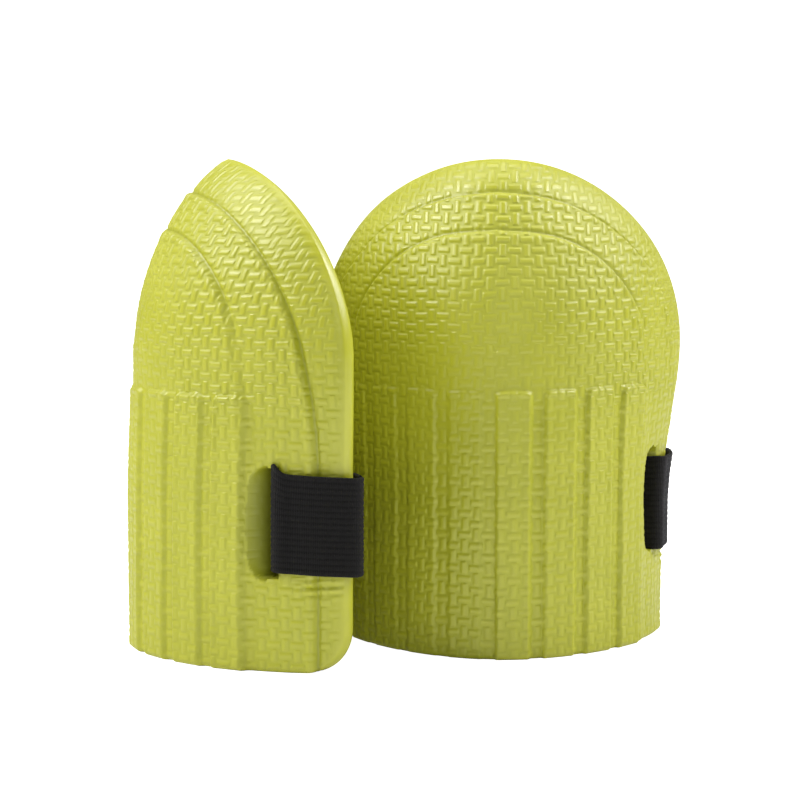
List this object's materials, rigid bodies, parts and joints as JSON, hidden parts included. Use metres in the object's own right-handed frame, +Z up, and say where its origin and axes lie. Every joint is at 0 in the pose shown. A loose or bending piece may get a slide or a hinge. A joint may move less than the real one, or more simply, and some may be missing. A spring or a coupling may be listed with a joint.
{
  "type": "knee pads",
  "caption": "Pair of moulded foam knee cups with a domed top, ribbed half-pipe shin and an elastic strap closed by hook and loop.",
  "frame": {"origin": "centre of the pair's footprint, on the surface that both pads stand on", "axes": "+Z up along both pads; +X from the left pad to the right pad; -Y towards the viewer, where the right pad's front faces"},
  "size_m": [0.2092, 0.1388, 0.18],
  "materials": {
    "foam": "lime green closed-cell EVA foam, satin skin with a fine embossed weave",
    "webbing": "black ribbed woven elastic",
    "hook": "black nylon hook tape",
    "loop": "black brushed nylon loop tape",
    "thread": "black polyester sewing thread"
  },
  "bodies": {
    "left_pad": {"left_foam_shell": "foam", "left_strap": "webbing", "left_loop_patch": "loop", "left_anchor_stitching": "thread", "left_loop_stitching": "thread"},
    "left_tail": {"left_strap_tail": "webbing", "left_hook_patch": "hook", "left_hook_stitching": "thread"},
    "right_pad": {"right_foam_shell": "foam", "right_strap": "webbing", "right_loop_patch": "loop", "right_anchor_stitching": "thread", "right_loop_stitching": "thread"},
    "right_tail": {"right_strap_tail": "webbing", "right_hook_patch": "hook", "right_hook_stitching": "thread"}
  },
  "joints": [
    {"name": "left_tail_peel", "type": "hinge", "parent": "left_pad", "child": "left_tail", "pos_m": [-0.01742, -0.05657, 0.0525], "axis": [0, 0, -1], "range_deg": [0, 105]},
    {"name": "right_tail_peel", "type": "hinge", "parent": "right_pad", "child": "right_tail", "pos_m": [0.09236, 0.04009, 0.0525], "axis": [0, 0, -1], "range_deg": [0, 105]},
    {"name": "right_pad_apart", "type": "slide", "parent": "left_pad", "child": "right_pad", "axis": [1, 0, 0], "range_m": [0, 0.15]}
  ]
}
